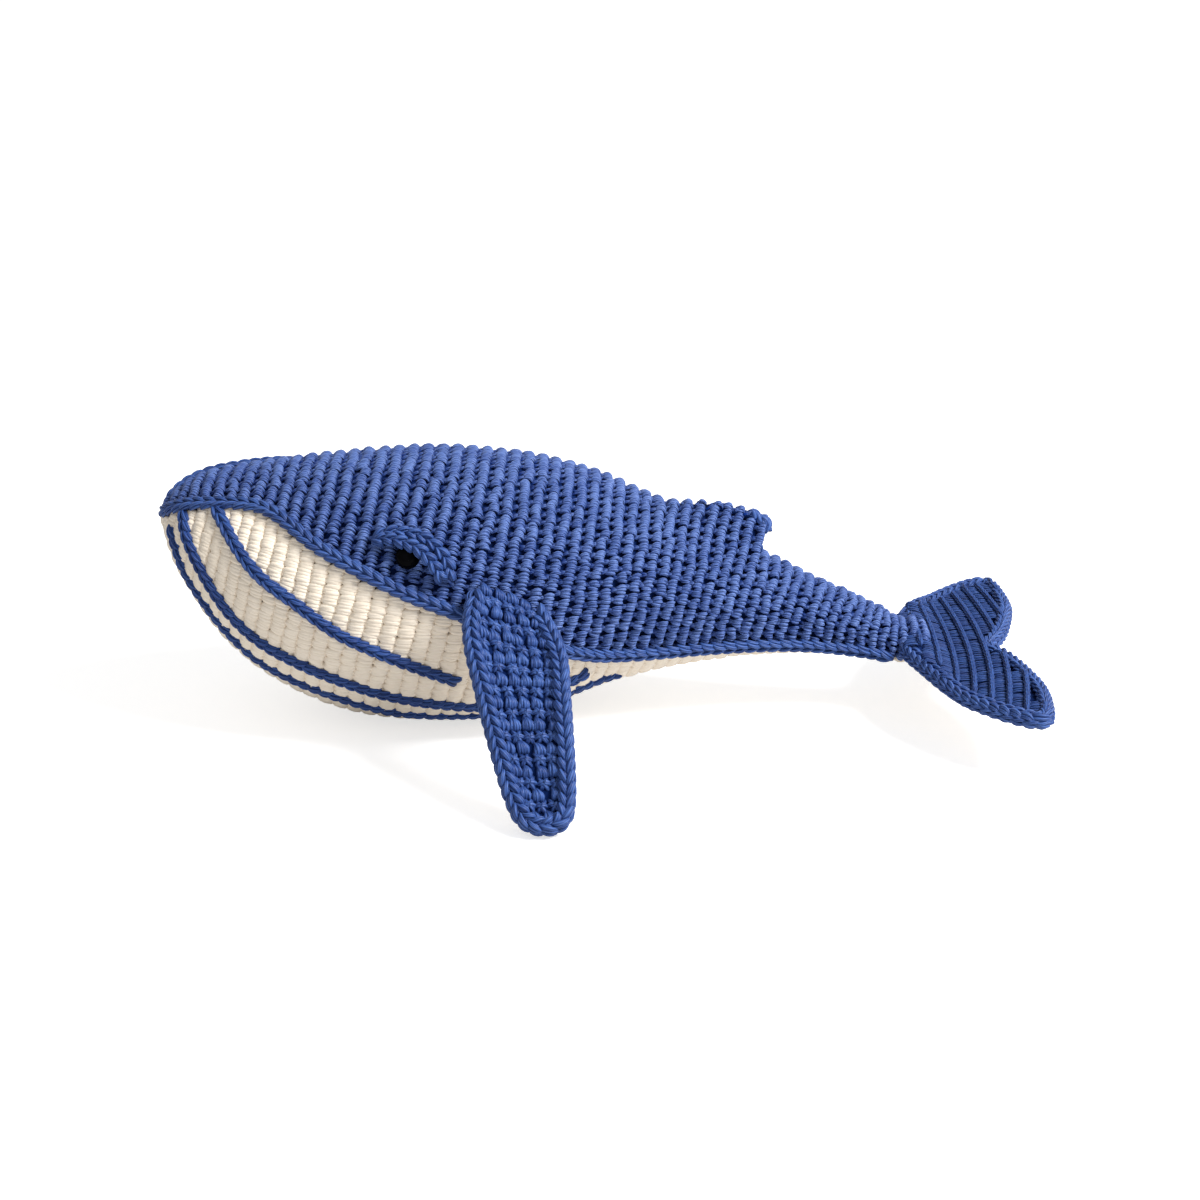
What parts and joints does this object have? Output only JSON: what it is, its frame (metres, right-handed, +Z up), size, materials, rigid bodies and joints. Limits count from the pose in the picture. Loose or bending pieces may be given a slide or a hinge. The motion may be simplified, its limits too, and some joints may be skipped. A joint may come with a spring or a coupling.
{
  "type": "crocheted toy whale",
  "caption": "Stuffed crocheted toy whale with a blue back, cream pleated throat, hinged pectoral fins and a hinged tail fluke.",
  "frame": {"origin": "on the table under the middle of the whole toy, at the bottom centre of its bounding box", "axes": "+X from snout to tail, +Y to the whale's right side, +Z up"},
  "size_m": [0.3648, 0.2538, 0.1129],
  "materials": {
    "blue_yarn": "matt crocheted cotton",
    "blue_chain": "matt crocheted cotton chain",
    "cream_yarn": "matt crocheted cotton",
    "filling": "loose polyester fibre",
    "eye_black": "polished",
    "washer_plastic": "moulded"
  },
  "bodies": {
    "torso": {"back_shell": "blue_yarn", "belly_panel": "cream_yarn", "stuffing": "filling", "seam_edging": "blue_chain", "throat_cord_upper_left": "blue_chain", "throat_cord_middle_left": "blue_chain", "throat_cord_lower_left": "blue_chain", "throat_cord_upper_right": "blue_chain", "throat_cord_middle_right": "blue_chain", "throat_cord_lower_right": "blue_chain", "eye_left": "eye_black", "eye_right": "eye_black", "eye_washer_left": "washer_plastic", "eye_washer_right": "washer_plastic", "eyelid_left": "blue_chain", "eyelid_right": "blue_chain"},
    "left_pectoral_fin": {"left_fin_top": "blue_yarn", "left_fin_under": "cream_yarn", "left_fin_edging": "blue_chain"},
    "right_pectoral_fin": {"right_fin_top": "blue_yarn", "right_fin_under": "cream_yarn", "right_fin_edging": "blue_chain"},
    "tail_fluke": {"fluke_top": "blue_yarn", "fluke_under": "cream_yarn", "fluke_edging": "blue_chain"}
  },
  "joints": [
    {"name": "left_fin_hinge", "type": "hinge", "parent": "torso", "child": "left_pectoral_fin", "pos_m": [-0.03416, -0.05724, 0.07029], "axis": [-0.9397, 0, 0.342], "range_deg": [-12, 90], "stiffness_Nm_per_rad": 0.15},
    {"name": "right_fin_hinge", "type": "hinge", "parent": "torso", "child": "right_pectoral_fin", "pos_m": [-0.03416, 0.05724, 0.07029], "axis": [0.9397, 0, -0.342], "range_deg": [-12, 90], "stiffness_Nm_per_rad": 0.15},
    {"name": "fluke_hinge", "type": "hinge", "parent": "torso", "child": "tail_fluke", "pos_m": [0.13247, 0, 0.0295], "axis": [0, -1, 0], "range_deg": [-30, 30], "stiffness_Nm_per_rad": 0.15}
  ]
}
